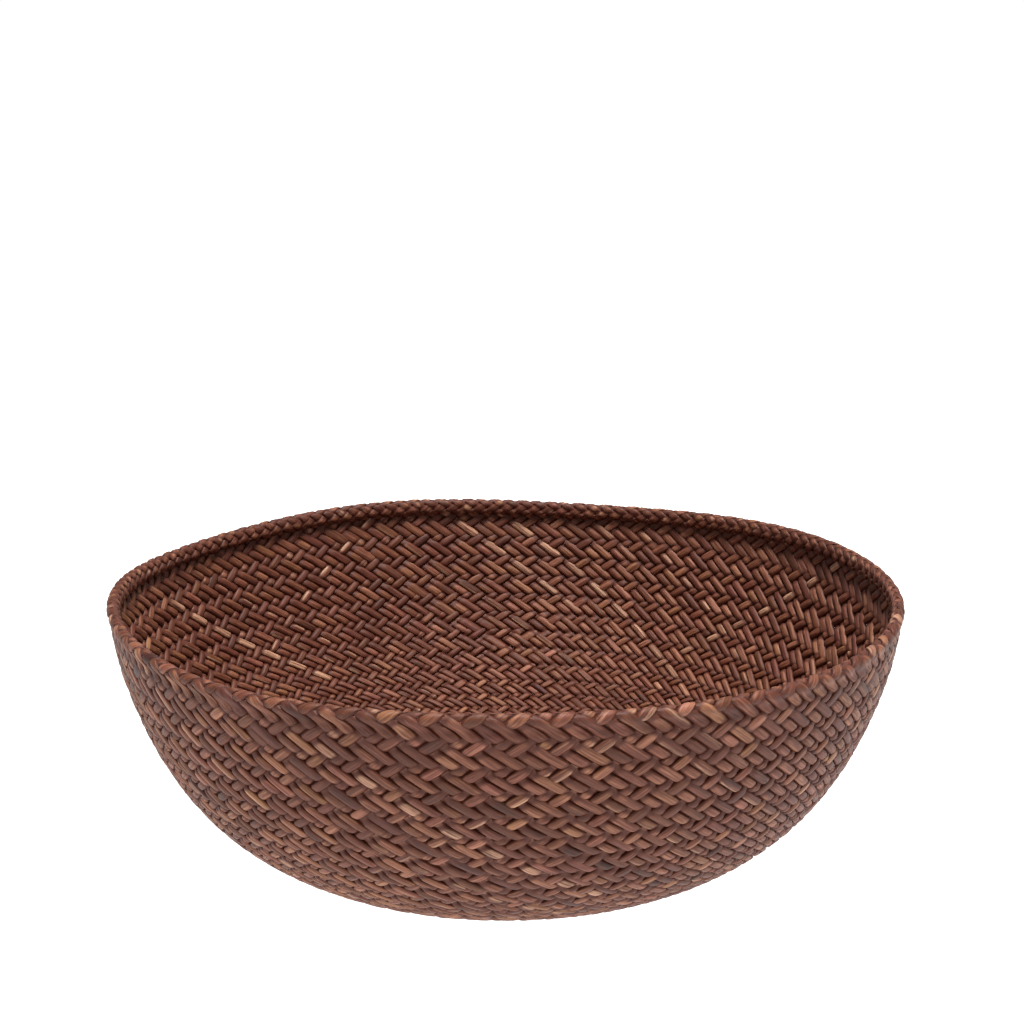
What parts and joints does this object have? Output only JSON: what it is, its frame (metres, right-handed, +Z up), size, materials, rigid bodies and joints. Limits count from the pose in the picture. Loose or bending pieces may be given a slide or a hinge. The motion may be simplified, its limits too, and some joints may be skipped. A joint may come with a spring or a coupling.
{
  "type": "plaited fruit basket",
  "caption": "Round open fruit bowl plaited in one sheet of flat stems, from a square mat foot up a flaring wall to a rolled rim with an inner hem.",
  "frame": {"origin": "centre of the circle that the foot covers, on the surface the basket stands on", "axes": "+Z up through the bowl's open mouth; X and Y along the sides of the square mat in the foot, with the stems running along the diagonals between them"},
  "size_m": [0.2996, 0.2996, 0.1009],
  "materials": {
    "lengthwise_stem": "dried flattened palm stem, dyed reddish brown, satin",
    "crosswise_stem": "dried flattened palm stem, dyed darker brown, satin",
    "core_cane": "thin split cane, matt"
  },
  "bodies": {
    "root": {"lengthwise_stems_01": "lengthwise_stem", "lengthwise_stems_02": "lengthwise_stem", "lengthwise_stems_03": "lengthwise_stem", "lengthwise_stems_04": "lengthwise_stem", "lengthwise_stems_05": "lengthwise_stem", "lengthwise_stems_06": "lengthwise_stem", "lengthwise_stems_07": "lengthwise_stem", "lengthwise_stems_08": "lengthwise_stem", "lengthwise_stems_09": "lengthwise_stem", "lengthwise_stems_10": "lengthwise_stem", "lengthwise_stems_11": "lengthwise_stem", "lengthwise_stems_12": "lengthwise_stem", "lengthwise_stems_13": "lengthwise_stem", "lengthwise_stems_14": "lengthwise_stem", "lengthwise_stems_15": "lengthwise_stem", "lengthwise_stems_16": "lengthwise_stem", "lengthwise_stems_17": "lengthwise_stem", "lengthwise_stems_18": "lengthwise_stem", "crosswise_stems_01": "crosswise_stem", "crosswise_stems_02": "crosswise_stem", "crosswise_stems_03": "crosswise_stem", "crosswise_stems_04": "crosswise_stem", "crosswise_stems_05": "crosswise_stem", "crosswise_stems_06": "crosswise_stem", "crosswise_stems_07": "crosswise_stem", "crosswise_stems_08": "crosswise_stem", "crosswise_stems_09": "crosswise_stem", "crosswise_stems_10": "crosswise_stem", "crosswise_stems_11": "crosswise_stem", "crosswise_stems_12": "crosswise_stem", "crosswise_stems_13": "crosswise_stem", "crosswise_stems_14": "crosswise_stem", "crosswise_stems_15": "crosswise_stem", "crosswise_stems_16": "crosswise_stem", "crosswise_stems_17": "crosswise_stem", "crosswise_stems_18": "crosswise_stem", "rim_core": "core_cane"}
  },
  "joints": []
}
